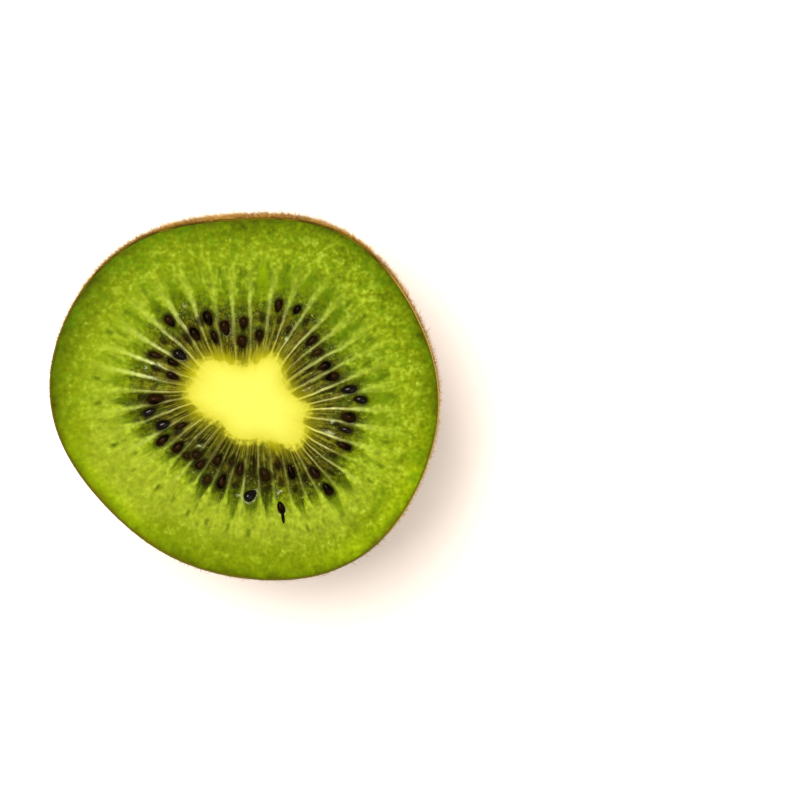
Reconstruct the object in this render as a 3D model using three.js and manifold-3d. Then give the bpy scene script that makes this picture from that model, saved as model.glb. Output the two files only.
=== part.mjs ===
// Half a kiwi fruit, cut across its middle and lying on its rounded end with the cut face up.
// Millimetres, +Z up. The origin is the middle of the small flat spot that the fruit rests on.
// The half is one solid: flesh, core and skin are grown together, and the seeds that stand
// proud of the cut face are fused to it, as is the woody scar of the stalk under the fruit.

import * as THREE from "three";
import { mergeVertices } from "three/addons/utils/BufferGeometryUtils.js";
import Module from "manifold-3d";

// ---- Driving dimensions ----
const DEPTH = 33.5; // from the resting spot up to the cut face
const FACE_RADIUS = 26.6; // mean radius of the cut face
const CORE_RADIUS = 6.7; // mean radius of the pale core
const REST_RADIUS = 6; // flat spot under the fruit
const BLUNTNESS = 2.24; // 2 is an ellipse, more is a blunter end
const RIM_ROUND = 0.25; // rounding of the skin's cut edge

// Middle of the cut face and of the core, seen from above. The fruit leans a little.
const FACE_CENTRE = new THREE.Vector2(1.2, -0.8);
const CORE_CENTRE = new THREE.Vector2(1.35, -1.26);

// An outline is a mean radius with a few waves: waves round the outline, share of the radius,
// and the direction of a crest in degrees.
const RIM_WAVES = [
  [2, 0.037, -25],
  [3, 0.024, 51],
  [4, 0.0055, -40],
  [5, 0.004, -13],
  [6, 0.0086, 3],
];
const CORE_WAVES = [
  [2, 0.223, -24],
  [3, 0.08, 59],
  [4, 0.125, -28],
  [5, 0.034, -25],
  [6, 0.038, 8],
  [8, 0.023, 0],
];
const BOTTOM_WAVE_SHARE = 0.3; // how much of the rim's waves is left at the resting spot

// The rays leave the core nearly square to its edge, so they bend away from its long axis.
const RAY_FAN = 13; // degrees
const CORE_LONG_AXIS = -24; // degrees

// Low relief of the cut face: the core swells, and the ring of seeds sinks.
const CORE_CROWN = 0.3;
const RING_DISH = 0.3;

// ---- Seeds that show on the cut face ----
const SEED_TAPER = 0.28; // narrowing towards the pointed end
const SEED_FLATNESS = 0.85; // thickness as a share of the width

// Direction from the core in degrees, reach, turn of the pointed end in degrees, length, width,
// and how far the seed's middle lies under the face. The knife dragged the two that lie at the
// face's own height out of the ring.
const SEEDS = [
  [2.2, 1.427, 172, 1.95, 1.1, 0.1],
  [9, 1.362, 185, 2.35, 1.2, 0.12],
  [19.8, 1.288, 194, 2.1, 1.2, 0.15],
  [28, 1.29, 202, 1.95, 1.15, 0.15],
  [37.8, 1.299, 208, 1.9, 0.95, 0.3],
  [45.9, 1.298, 217, 2.1, 1.05, 0.2],
  [62.2, 1.382, 235, 1.55, 0.95, 0.2],
  [71.6, 1.387, 257, 1.9, 1.05, 0.15],
  [77.9, 1.178, 264, 1.85, 1.15, 0.25],
  [90.6, 1.295, 268, 1.8, 1.1, 0.2],
  [91.6, 1.167, 278, 1.9, 1.3, 0.2],
  [103, 1.248, 286, 2.15, 1.35, 0.1],
  [111, 1.164, 290, 2, 0.95, 0.2],
  [111.7, 1.309, 290, 2.2, 1.25, 0.1],
  [122.8, 1.209, 311, 2.1, 1.25, 0.12],
  [129.5, 1.202, 308, 1.7, 0.7, 0.3],
  [131.9, 1.383, 311, 1.95, 1.15, 0.12],
  [143.4, 1.159, 332, 2, 1.35, 0.1],
  [152.9, 1.174, 335, 1.8, 0.95, 0.2],
  [154.5, 1.315, 343, 2.1, 1, 0.25],
  [162.7, 1.255, 335, 1.7, 0.75, 0.3],
  [165.2, 1.139, 336, 1.95, 0.95, 0.1],
  [185.5, 1.244, 8, 2.4, 1.45, 0.12],
  [192.4, 1.313, 28, 2.05, 1.15, 0.3],
  [202.3, 1.278, 22, 2.05, 1.4, 0.15],
  [208.1, 1.188, 24, 2.2, 0.9, 0.25],
  [209.4, 1.364, 38, 2.3, 1.05, 0.1],
  [217.6, 1.332, 43, 2.05, 1.1, 0.12],
  [225, 1.337, 40, 1.3, 1.1, 0.3],
  [229.7, 1.276, 30, 2, 1.4, 0.3],
  [235, 1.312, 42, 1.9, 1.1, 0.2],
  [243.1, 1.379, 60, 1.6, 1.15, 0.35],
  [243.3, 1.211, 63, 1.8, 1.1, 0.25],
  [250.9, 1.34, 70, 2.25, 1.1, 0.15],
  [253, 1.171, 70, 1.5, 1.1, 0.35],
  [259.8, 1.218, 82, 2.2, 1.15, 0.25],
  [268.3, 1.412, 35, 2, 1.5, 0],
  [277, 1.258, 120, 2.1, 1.5, 0.3],
  [283.3, 1.486, 106, 1.95, 1.1, 0],
  [286.1, 1.157, 97, 1.8, 0.85, 0.3],
  [292.7, 1.215, 105, 2.3, 1, 0.15],
  [305.8, 1.267, 129, 2.15, 1.15, 0.15],
  [307.2, 1.437, 126, 2.05, 1.25, 0.12],
  [332.7, 1.344, 157, 2.15, 1.05, 0.15],
  [343.1, 1.32, 166, 1.9, 0.9, 0.3],
  [351.8, 1.328, 166, 2.25, 1.5, 0.2],
];

// ---- Scar of the stalk, beside the resting spot ----
const SCAR_RADIUS = 2.3;
const SCAR_HEIGHT = 0.35;
const SCAR_TURN = 125; // degrees
const SCAR_STATION = 0.8; // along the wall: 0 at the rim, 1 at the resting spot

// ---- Resolution ----
const AROUND = 96;
const CORE_RINGS = 3;
const FLESH_RINGS = 8;
const WALL_RINGS = 13;

const TAU = 2 * Math.PI;
const rad = THREE.MathUtils.degToRad;
const { lerp, smoothstep } = THREE.MathUtils;

const waviness = (waves, angle) =>
  waves.reduce((sum, [count, share, crest]) => sum + share * Math.cos(count * (angle - rad(crest))), 1);

const outline = (centre, radius, waves, angle) =>
  new THREE.Vector2(Math.cos(angle), Math.sin(angle))
    .multiplyScalar(radius * waviness(waves, angle))
    .add(centre);

// ---- The cut face: reach is 0 at the middle of the core, 1 at its edge and 2 at the rim ----
const faceRelief = (reach) => {
  const core = CORE_CROWN * (1 - smoothstep(reach, 0.6, 1.1));
  const ring = RING_DISH * (smoothstep(reach, 1, 1.2) - smoothstep(reach, 1.45, 1.8));
  return core - ring;
};

const facePoint = (angle, reach) => {
  const coreAngle = angle - rad(RAY_FAN) * Math.sin(2 * (angle - rad(CORE_LONG_AXIS)));
  const core = outline(CORE_CENTRE, CORE_RADIUS, CORE_WAVES, coreAngle);
  const rim = outline(FACE_CENTRE, FACE_RADIUS - RIM_ROUND, RIM_WAVES, angle);
  const flat =
    reach <= 1
      ? CORE_CENTRE.clone().lerp(core, reach)
      : core.clone().lerp(rim, reach - 1);
  return new THREE.Vector3(flat.x, flat.y, DEPTH + faceRelief(reach));
};

// ---- The skin: station is 0 just under the cut edge and 1 at the resting spot ----
const REST_TURN = Math.acos((REST_RADIUS / FACE_RADIUS) ** (BLUNTNESS / 2));
const FULL_SINK = Math.sin(REST_TURN) ** (2 / BLUNTNESS);

const wallPoint = (angle, station) => {
  const turn = REST_TURN * station;
  const girth = Math.cos(turn) ** (2 / BLUNTNESS);
  const sink = Math.sin(turn) ** (2 / BLUNTNESS) / FULL_SINK;
  const waves = lerp(1, BOTTOM_WAVE_SHARE, sink);
  const radius = FACE_RADIUS * girth * (1 + (waviness(RIM_WAVES, angle) - 1) * waves);
  const centre = FACE_CENTRE.clone().multiplyScalar(1 - sink ** 2);
  return new THREE.Vector3(
    centre.x + radius * Math.cos(angle),
    centre.y + radius * Math.sin(angle),
    (DEPTH - RIM_ROUND) * (1 - sink),
  );
};

// ---- The bare half, as a lathe whose rings are then moved to the fruit's own shape ----
const rings = [];
for (let i = 0; i <= CORE_RINGS; i++) {
  rings.push((angle) => facePoint(angle, i / CORE_RINGS));
}
for (let i = 1; i <= FLESH_RINGS; i++) {
  rings.push((angle) => facePoint(angle, 1 + i / FLESH_RINGS));
}
for (let i = 0; i <= WALL_RINGS; i++) {
  rings.push((angle) => wallPoint(angle, i / WALL_RINGS));
}
rings.push(() => new THREE.Vector3(0, 0, 0));

const halfGeometry = () => {
  const profile = rings.map((_, row) => new THREE.Vector2(row % (rings.length - 1) ? 1 : 0, -row));
  const geometry = new THREE.LatheGeometry(profile, AROUND);
  const position = geometry.getAttribute("position");
  for (let i = 0; i < position.count; i++) {
    const angle = TAU * (1 - Math.floor(i / rings.length) / AROUND);
    position.setXYZ(i, ...rings[i % rings.length](angle).toArray());
  }
  return geometry;
};

// ---- A seed: a drop whose pointed end is turned about Z from +X ----
const seedGeometry = ([direction, reach, turn, length, width, sink]) => {
  const geometry = new THREE.OctahedronGeometry(1, 1);
  const position = geometry.getAttribute("position");
  for (let i = 0; i < position.count; i++) {
    const x = position.getX(i);
    const girth = (width / 2) * (1 - SEED_TAPER * x);
    position.setXYZ(
      i,
      (x * length) / 2,
      position.getY(i) * girth,
      position.getZ(i) * girth * SEED_FLATNESS,
    );
  }
  const place = facePoint(rad(direction), reach);
  return geometry.rotateZ(rad(turn)).translate(place.x, place.y, place.z - sink);
};

// ---- The scar: a low woody button, square to the skin where it sits ----
const scarGeometry = () => {
  const angle = rad(SCAR_TURN);
  const place = wallPoint(angle, SCAR_STATION);
  const down = wallPoint(angle, SCAR_STATION + 0.02).sub(place);
  const along = wallPoint(angle + 0.02, SCAR_STATION).sub(place);
  const outward = down.cross(along).normalize();
  const geometry = new THREE.CylinderGeometry(SCAR_RADIUS * 0.8, SCAR_RADIUS, 2 * SCAR_HEIGHT, 14);
  const turn = new THREE.Quaternion().setFromUnitVectors(new THREE.Vector3(0, 1, 0), outward);
  return geometry.applyQuaternion(turn).translate(place.x, place.y, place.z);
};

// ---- Joining ----
const wasm = await Module();
wasm.setup();

const solidOf = (geometry) => {
  geometry.deleteAttribute("normal");
  geometry.deleteAttribute("uv");
  const merged = mergeVertices(geometry, 1e-4);
  const triVerts = merged.index
    ? new Uint32Array(merged.index.array)
    : Uint32Array.from({ length: merged.getAttribute("position").count }, (_, i) => i);
  return new wasm.Manifold(
    new wasm.Mesh({ numProp: 3, vertProperties: merged.getAttribute("position").array, triVerts }),
  );
};

const geometryOf = (solid) => {
  const mesh = solid.getMesh();
  const geometry = new THREE.BufferGeometry();
  geometry.setAttribute("position", new THREE.BufferAttribute(mesh.vertProperties, 3));
  geometry.setIndex(new THREE.BufferAttribute(mesh.triVerts, 1));
  return geometry;
};

const solid = [...SEEDS.map(seedGeometry), scarGeometry()].reduce(
  (fruit, piece) => fruit.add(solidOf(piece)),
  solidOf(halfGeometry()),
);

const kiwiHalf = new THREE.Mesh(
  geometryOf(solid),
  new THREE.MeshStandardMaterial({ color: 0x92612a, roughness: 0.85, metalness: 0 }),
);
kiwiHalf.name = "kiwi_half";

const group = new THREE.Group();
group.add(kiwiHalf);

export default group;
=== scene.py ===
"""Half a kiwi fruit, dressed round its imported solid: flesh, skin, seeds, fuzz and the stalk's scar."""

import math

import bmesh
import bpy
import numpy as np
from mathutils import Matrix, Vector, noise


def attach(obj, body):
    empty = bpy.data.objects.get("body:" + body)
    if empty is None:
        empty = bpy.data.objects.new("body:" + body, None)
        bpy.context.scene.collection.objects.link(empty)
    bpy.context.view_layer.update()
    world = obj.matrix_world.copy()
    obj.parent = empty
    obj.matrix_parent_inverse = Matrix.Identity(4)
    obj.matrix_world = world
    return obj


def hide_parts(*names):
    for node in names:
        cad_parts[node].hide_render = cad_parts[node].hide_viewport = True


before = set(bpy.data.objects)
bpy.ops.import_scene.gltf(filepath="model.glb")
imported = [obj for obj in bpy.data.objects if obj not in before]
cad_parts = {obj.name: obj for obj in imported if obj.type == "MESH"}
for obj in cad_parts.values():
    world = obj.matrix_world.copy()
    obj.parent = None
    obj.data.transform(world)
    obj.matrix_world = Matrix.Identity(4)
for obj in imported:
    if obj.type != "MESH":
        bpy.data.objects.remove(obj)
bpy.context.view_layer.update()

MM = 0.001
TAU = 2 * math.pi
BODY = "root"
NODE = "kiwi_half"

# ---- Driving dimensions, the same as the solid's, in metres ----
DEPTH = 33.5 * MM
FACE_RADIUS = 26.6 * MM
CORE_RADIUS = 6.7 * MM
REST_RADIUS = 6 * MM
BLUNTNESS = 2.24
SKIN_THICKNESS = 0.25 * MM
FACE_CENTRE = np.array([1.2, -0.8]) * MM
CORE_CENTRE = np.array([1.35, -1.26]) * MM

# Waves round an outline: how many, share of the radius, and the direction of a crest in degrees.
RIM_WAVES = [(2, 0.037, -25), (3, 0.024, 51), (4, 0.0055, -40), (5, 0.004, -13), (6, 0.0086, 3)]
CORE_WAVES = [
    (2, 0.223, -24), (3, 0.08, 59), (4, 0.125, -28), (5, 0.034, -25), (6, 0.038, 8), (8, 0.023, 0),
]
BOTTOM_WAVE_SHARE = 0.3
RAY_FAN = math.radians(13)
CORE_LONG_AXIS = math.radians(-24)
CORE_CROWN = 0.3 * MM
RING_DISH = 0.3 * MM

SEED_TAPER = 0.28
SEED_FLATNESS = 0.85

# Direction in degrees and reach, turn of the pointed end, length and width in mm, and how deep in mm the
# middle lies.
SEEDS = [
    (2.2, 1.427, 172, 1.95, 1.1, 0.1), (9, 1.362, 185, 2.35, 1.2, 0.12),
    (19.8, 1.288, 194, 2.1, 1.2, 0.15), (28, 1.29, 202, 1.95, 1.15, 0.15),
    (37.8, 1.299, 208, 1.9, 0.95, 0.3), (45.9, 1.298, 217, 2.1, 1.05, 0.2),
    (62.2, 1.382, 235, 1.55, 0.95, 0.2), (71.6, 1.387, 257, 1.9, 1.05, 0.15),
    (77.9, 1.178, 264, 1.85, 1.15, 0.25), (90.6, 1.295, 268, 1.8, 1.1, 0.2),
    (91.6, 1.167, 278, 1.9, 1.3, 0.2), (103, 1.248, 286, 2.15, 1.35, 0.1),
    (111, 1.164, 290, 2, 0.95, 0.2), (111.7, 1.309, 290, 2.2, 1.25, 0.1),
    (122.8, 1.209, 311, 2.1, 1.25, 0.12), (129.5, 1.202, 308, 1.7, 0.7, 0.3),
    (131.9, 1.383, 311, 1.95, 1.15, 0.12), (143.4, 1.159, 332, 2, 1.35, 0.1),
    (152.9, 1.174, 335, 1.8, 0.95, 0.2), (154.5, 1.315, 343, 2.1, 1, 0.25),
    (162.7, 1.255, 335, 1.7, 0.75, 0.3), (165.2, 1.139, 336, 1.95, 0.95, 0.1),
    (185.5, 1.244, 8, 2.4, 1.45, 0.12), (192.4, 1.313, 28, 2.05, 1.15, 0.3),
    (202.3, 1.278, 22, 2.05, 1.4, 0.15), (208.1, 1.188, 24, 2.2, 0.9, 0.25),
    (209.4, 1.364, 38, 2.3, 1.05, 0.1), (217.6, 1.332, 43, 2.05, 1.1, 0.12),
    (225, 1.337, 40, 1.3, 1.1, 0.3), (229.7, 1.276, 30, 2, 1.4, 0.3),
    (235, 1.312, 42, 1.9, 1.1, 0.2), (243.1, 1.379, 60, 1.6, 1.15, 0.35),
    (243.3, 1.211, 63, 1.8, 1.1, 0.25), (250.9, 1.34, 70, 2.25, 1.1, 0.15),
    (253, 1.171, 70, 1.5, 1.1, 0.35), (259.8, 1.218, 82, 2.2, 1.15, 0.25),
    (268.3, 1.412, 35, 2, 1.5, 0), (277, 1.258, 120, 2.1, 1.5, 0.3),
    (283.3, 1.486, 106, 1.95, 1.1, 0), (286.1, 1.157, 97, 1.8, 0.85, 0.3),
    (292.7, 1.215, 105, 2.3, 1, 0.15), (305.8, 1.267, 129, 2.15, 1.15, 0.15),
    (307.2, 1.437, 126, 2.05, 1.25, 0.12), (332.7, 1.344, 157, 2.15, 1.05, 0.15),
    (343.1, 1.32, 166, 1.9, 0.9, 0.3), (351.8, 1.328, 166, 2.25, 1.5, 0.2),
]

SCAR_RADIUS = 2.3 * MM
SCAR_HEIGHT = 0.35 * MM
SCAR_TURN = math.radians(125)
SCAR_STATION = 0.8

# ---- What only shows, and has no part in the solid ----
SEED_TAIL = (283.5, 1.538, 97, 3.1, 0.46, 0)  # the thin tail of a loose seed, as a row of SEEDS
WET_SEEDS = {0, 1, 17, 23, 24, 36, 44}  # rows of SEEDS that glint
EDGE_GLINTS = {36: 1.0, 38: 0.3, 11: 0.3, 17: 0.3}  # rows of SEEDS with a painted highlight on the lit side of their wet edge, and how bright

# Seeds under the flesh that show through it: direction, reach, turn, length and width, as for SEEDS.
BURIED_SEEDS = [
    (11.7, 1.242, 201, 1.6, 0.5), (31.0, 1.197, 211, 1.5, 0.5), (55.2, 1.34, 222, 1.3, 0.8),
    (61.4, 1.227, 240, 1.3, 0.8), (68.6, 1.281, 254, 1.3, 0.8), (78.9, 1.309, 264, 1.6, 0.9),
    (116.5, 1.289, 295, 1.6, 0.9), (143.0, 1.317, 320, 1.4, 0.9), (182.7, 1.344, 10, 1.2, 0.8),
    (210.9, 1.239, 33, 1.4, 0.5), (215.8, 1.192, 42, 2.2, 0.5), (225.1, 1.196, 45, 1.2, 0.9),
    (259.5, 1.339, 70, 1.4, 1.0), (268.3, 1.233, 95, 2.0, 1.0), (268.5, 1.153, 96, 1.4, 0.7),
    (277.9, 1.353, 34, 1.5, 0.8), (285.5, 1.296, 94, 1.5, 0.9), (292.2, 1.344, 73, 1.3, 0.7),
    (299.1, 1.278, 98, 1.6, 0.8), (314.0, 1.355, 143, 1.6, 0.5), (323.1, 1.286, 164, 1.5, 0.8),
    (346.1, 1.23, 170, 1.8, 0.6),
]

# How far the core's edge runs out, in thousandths of reach, at every EDGE_STEP degrees from 0.
EDGE_STEP = 5
CORE_EDGE = [
    43, 38, 1, -18, -44, -6, 13, 21, 10, 0, -19, 10, 14, 20, -6, -105, 3, -13,
    -6, 5, 5, -42, -27, -66, 3, 5, 10, 15, -4, -20, -7, -34, -12, -8, -5, 9,
    5, 16, 17, -20, -31, 7, 8, 25, 24, -4, -12, -1, 12, 8, 16, 13, -1, 30,
    16, 26, 10, -26, -39, 12, 34, 30, 33, 10, 25, -14, 15, -69, -33, -16, 10, 26,
]

# Painted highlights where wet spots catch the light: direction, reach, turn, length and width, as for SEEDS.
GLEAMS = [
    (19.5, 1.09, 20, 1.6, 0.35), (59.9, 1.164, 90, 0.8, 0.6), (120.9, 1.434, 120, 0.9, 0.5),
    (159.2, 1.27, 157, 2.2, 0.5), (164.2, 1.345, 100, 0.7, 0.5), (169.9, 1.3, 168, 2.6, 0.45),
    (226.5, 1.225, 190, 1.1, 0.4), (262.1, 1.418, 175, 1.2, 0.4), (284.1, 1.365, 0, 1.2, 0.45),
    (283.2, 1.38, 80, 0.9, 0.3), (337.8, 1.2, 338, 2.2, 0.45), (347.5, 1.21, 30, 0.9, 0.6),
]

# Each ray's direction in degrees out among the seeds and where it leaves the core, how pale it is there and
# further out, the reach at which the locule after it ends, how green the wall is beyond that end, and how
# light the locule is. Paleness, green and light run from 0 to FULL_MARK.
FULL_MARK = 9
RAYS = np.array([
    (6.8, 5.6, 7, 3, 1.49, 6, 4), (15.4, 13.7, 9, 2, 1.4, 4, 4), (23.6, 24.6, 4, 2, 1.42, 6, 5),
    (31.4, 35.8, 3, 5, 1.44, 6, 5), (40.1, 45.3, 1, 3, 1.54, 7, 6), (48.5, 53, 5, 4, 1.6, 7, 4),
    (57.8, 60, 4, 3, 1.63, 9, 6), (67.3, 65.4, 2, 2, 1.59, 9, 7), (77.1, 72, 0, 3, 1.65, 6, 9),
    (87.6, 83.4, 0, 3, 1.49, 5, 5), (96.8, 98.2, 0, 2, 1.47, 5, 8), (105.6, 108.3, 0, 0, 1.51, 6, 7),
    (116.5, 117.5, 0, 4, 1.55, 6, 5), (127.2, 126.3, 2, 7, 1.54, 7, 4),
    (138.5, 136, 6, 5, 1.48, 5, 8), (149.1, 148.1, 2, 6, 1.45, 5, 9),
    (159.7, 161.2, 3, 7, 1.42, 4, 5), (168.9, 172.8, 1, 9, 1.53, 4, 9),
    (178.4, 181.1, 4, 3, 1.5, 4, 2), (188, 188.7, 2, 4, 1.5, 4, 4), (196.4, 195.6, 5, 2, 1.44, 2, 3),
    (205.3, 203.9, 0, 5, 1.44, 2, 8), (213.9, 211.8, 3, 0, 1.44, 1, 5),
    (221.7, 219.6, 2, 0, 1.43, 0, 2), (229.3, 228.6, 1, 2, 1.41, 1, 3),
    (238, 239.1, 0, 0, 1.5, 3, 0), (246.6, 246.3, 0, 0, 1.44, 2, 0),
    (255.5, 254.5, 1, 0, 1.53, 3, 3), (263.9, 262.5, 0, 3, 1.53, 2, 1),
    (273.8, 272.2, 1, 0, 1.5, 2, 1), (280.6, 282, 0, 0, 1.45, 5, 9),
    (288.5, 290.1, 0, 0, 1.51, 2, 2), (295.5, 297.3, 0, 0, 1.43, 1, 3),
    (302.5, 301.6, 4, 1, 1.59, 5, 6), (311.6, 309, 3, 0, 1.54, 4, 1),
    (320.6, 315.3, 4, 4, 1.37, 1, 3), (328.1, 322.3, 7, 0, 1.49, 3, 8),
    (336.8, 334, 9, 3, 1.44, 2, 3), (347.4, 349.5, 5, 5, 1.52, 5, 6),
    (356.7, 359.2, 8, 5, 1.65, 9, 7),
])
RAY_COUNT = len(RAYS)
OUTER_DIRECTION, INNER_DIRECTION, PALE_NEAR, PALE_FAR, LOCULE_END, GREEN_BEYOND, LOCULE_LIGHT = RAYS.T
RAYS_BEND = (1.08, 1.45)  # between these reaches a ray turns from its inner to its outer direction


# ---- The fruit's shape ----
def smoothstep(low, high, x):
    t = np.clip((x - low) / (high - low), 0, 1)
    return t * t * (3 - 2 * t)


def chance(n):
    """A repeatable number from 0 to 1 for each whole number."""
    scattered = math.sin(n * 12.9898) * 43758.5453
    return scattered - math.floor(scattered)


def waviness(waves, angle):
    return 1 + sum(share * np.cos(count * (angle - math.radians(crest))) for count, share, crest in waves)


def outline(centre, radius, waves, angle):
    reach = radius * waviness(waves, angle)
    return np.stack([centre[0] + reach * np.cos(angle), centre[1] + reach * np.sin(angle)], -1)


def face_plan(angle, reach):
    """A point of the cut face from above. Reach is 0 in the core's middle, 1 at its edge, 2 at the rim."""
    core_angle = angle - RAY_FAN * np.sin(2 * (angle - CORE_LONG_AXIS))
    core = outline(CORE_CENTRE, CORE_RADIUS, CORE_WAVES, core_angle)
    rim = outline(FACE_CENTRE, FACE_RADIUS - SKIN_THICKNESS, RIM_WAVES, angle)
    inner = CORE_CENTRE + (core - CORE_CENTRE) * np.minimum(reach, 1)[:, None]
    return inner + (rim - core) * np.maximum(reach - 1, 0)[:, None]


def face_swell(reach):
    """How far the face stands above its plane: the core is crowned, and the ring of seeds is dished."""
    core = CORE_CROWN * (1 - smoothstep(0.6, 1.1, reach))
    ring = RING_DISH * (smoothstep(1, 1.2, reach) - smoothstep(1.45, 1.8, reach))
    return core - ring


def ray_place(angle, reach):
    """Where a point lies among the rays: a whole number on a ray, and a half in the middle of a locule."""
    place = np.empty_like(angle)
    bend_start, bend_end = RAYS_BEND
    for here in np.unique(reach):
        ring = reach == here
        share = np.clip((bend_end - here) / (bend_end - bend_start), 0, 1)
        rays = np.radians(OUTER_DIRECTION + (INNER_DIRECTION - OUTER_DIRECTION) * share)
        rays = np.concatenate([[rays[-1] - TAU], rays, [rays[0] + TAU]])
        place[ring] = np.interp(angle[ring], rays, np.arange(-1, RAY_COUNT + 1)) % RAY_COUNT
    return place


# Where the side's curve reaches the resting spot, and how far it has sunk there.
REST_TURN = math.acos((REST_RADIUS / FACE_RADIUS) ** (BLUNTNESS / 2))
FULL_SINK = math.sin(REST_TURN) ** (2 / BLUNTNESS)


def wall_point(angle, station):
    """A point of the side: station is 0 at the rim and 1 at the edge of the resting spot."""
    turn = REST_TURN * np.clip(station, 0, 1)
    girth = np.cos(turn) ** (2 / BLUNTNESS)
    sink = np.sin(turn) ** (2 / BLUNTNESS) / FULL_SINK
    waves = 1 + (BOTTOM_WAVE_SHARE - 1) * sink
    radius = FACE_RADIUS * girth * (1 + (waviness(RIM_WAVES, angle) - 1) * waves)
    x, y = FACE_CENTRE[:, None] * (1 - sink**2) + radius * np.stack([np.cos(angle), np.sin(angle)])
    return np.stack([x, y, DEPTH * (1 - sink)], -1)


def wall_frame(angle, station):
    """Points of the side, with the outward normal and the direction down along the skin."""
    step = 0.004
    station = np.clip(station, step, 1 - step)
    down = wall_point(angle, station + step) - wall_point(angle, station - step)
    along = wall_point(angle + step, station) - wall_point(angle - step, station)
    normal = np.cross(down, along)
    down /= np.linalg.norm(down, axis=1)[:, None]
    normal /= np.linalg.norm(normal, axis=1)[:, None]
    return wall_point(angle, station), normal, down


def rough(points, size, seed=0.0):
    """Smooth noise from -1 to 1 at each point, with features of that size."""
    shift = Vector((seed, seed * 1.7, seed * 2.3))
    return np.array([noise.noise(Vector(point) / size + shift) for point in points])


def seed_middle(direction, reach, sink):
    """The middle of a seed that lies sink mm under the face."""
    angle, reach = np.array([math.radians(direction)]), np.array([reach])
    plan = face_plan(angle, reach)[0]
    return np.array([plan[0], plan[1], DEPTH + face_swell(reach)[0] - sink * MM])


def seed_distance(plan, seed):
    """How far points lie from a seed seen from above: 1 on its outline."""
    direction, reach, turn, length, width = seed[:5]
    middle = seed_middle(direction, reach, 0)
    east, north = plan[:, 0] - middle[0], plan[:, 1] - middle[1]
    turn = math.radians(turn)
    along = (east * math.cos(turn) + north * math.sin(turn)) / (length * MM / 2)
    across = (north * math.cos(turn) - east * math.sin(turn)) / (width * MM / 2)
    return np.hypot(along, across / np.clip(1 - SEED_TAPER * along, 0.5, 1.5))


# ---- Meshes ----
def object_of(name, mesh, material):
    """Puts a mesh in the scene as one smooth piece that rides on the fruit."""
    piece = bpy.data.objects.new(name, mesh)
    bpy.context.scene.collection.objects.link(piece)
    mesh.materials.append(material)
    mesh.polygons.foreach_set("use_smooth", [True] * len(mesh.polygons))
    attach(piece, BODY)
    return piece


def spun(name, stations, steps, shape, share_round=lambda angle, station: angle / TAU):
    """A row of stations spun round Z, whose points are then moved to shape(angle, station).

    Its UV is the share of the way round and the station.
    """
    bm = bmesh.new()
    row = [bm.verts.new((station + 1, 0, 0)) for station in stations]
    edges = [bm.edges.new(pair) for pair in zip(row, row[1:])]
    bmesh.ops.spin(
        bm, geom=row + edges, axis=(0, 0, 1), cent=(0, 0, 0), angle=TAU, steps=steps, use_merge=True
    )
    flat = np.array([vert.co for vert in bm.verts])
    station = np.round(np.hypot(flat[:, 0], flat[:, 1]) - 1, 4)
    angle = np.round(np.arctan2(flat[:, 1], flat[:, 0]) * steps / TAU) % steps * TAU / steps
    bm.verts.index_update()
    uv_layer = bm.loops.layers.uv.new("Turned")
    shares, heights = share_round(angle, station).tolist(), station.tolist()
    for face in bm.faces:
        around = [shares[loop.vert.index] for loop in face.loops]
        if max(around) - min(around) > 0.5:
            around = [share + 1 if share < 0.5 else share for share in around]
        for loop, share in zip(face.loops, around):
            loop[uv_layer].uv = (share, heights[loop.vert.index])
    for vert, place in zip(bm.verts, shape(angle, station)):
        vert.co = place
    bmesh.ops.remove_doubles(bm, verts=bm.verts, dist=1e-7)
    bmesh.ops.recalc_face_normals(bm, faces=bm.faces)
    mesh = bpy.data.meshes.new(name)
    bm.to_mesh(mesh)
    bm.free()
    return mesh


def joined(name, points, faces):
    """One mesh of many copies: points is (copies, points each, 3), and faces has one copy's corners."""
    copies, each = points.shape[:2]
    mesh = bpy.data.meshes.new(name)
    first = (np.arange(copies) * each)[:, None]
    corners = [np.array(face)[None, :] + first for face in faces]
    sizes = np.concatenate([np.full(copies, len(face)) for face in faces])
    mesh.vertices.add(copies * each)
    mesh.vertices.foreach_set("co", points.astype(np.float32).ravel())
    mesh.loops.add(int(sizes.sum()))
    mesh.loops.foreach_set("vertex_index", np.concatenate([c.ravel() for c in corners]).astype(np.int32))
    mesh.polygons.add(len(sizes))
    mesh.polygons.foreach_set("loop_start", (np.cumsum(sizes) - sizes).astype(np.int32))
    mesh.update(calc_edges=True)
    return mesh


def measure(mesh, name, values):
    """Keeps one number at each point of a mesh, for its finish to read."""
    mesh.attributes.new(name, "FLOAT", "POINT").data.foreach_set("value", values.astype(np.float32))


def measure_round(mesh, name, place, rows):
    """Keeps at each point what a row of numbers that runs once round says at that place in the row."""
    measure(mesh, name, np.interp(place % len(rows), np.arange(len(rows) + 1), [*rows, rows[0]]))


def direction_from(middle, points):
    return np.arctan2(points[:, 1] - middle[1], points[:, 0] - middle[0])


def turned_place(mesh):
    """Where each point lies among the rays, as its UV tells it."""
    corners, turned = np.empty(len(mesh.loops), np.int32), np.empty(len(mesh.loops) * 2, np.float32)
    mesh.loops.foreach_get("vertex_index", corners)
    mesh.uv_layers["Turned"].data.foreach_get("uv", turned)
    place = np.zeros(len(mesh.vertices))
    place[corners] = turned[::2] * RAY_COUNT
    return place


def positions(mesh):
    points = np.empty(len(mesh.vertices) * 3, np.float32)
    mesh.vertices.foreach_get("co", points)
    return points.reshape(-1, 3).astype(float)


# ---- Finishes ----
LIGHT = 1.7  # how brightly the lamps and the sky light the cut face


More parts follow.
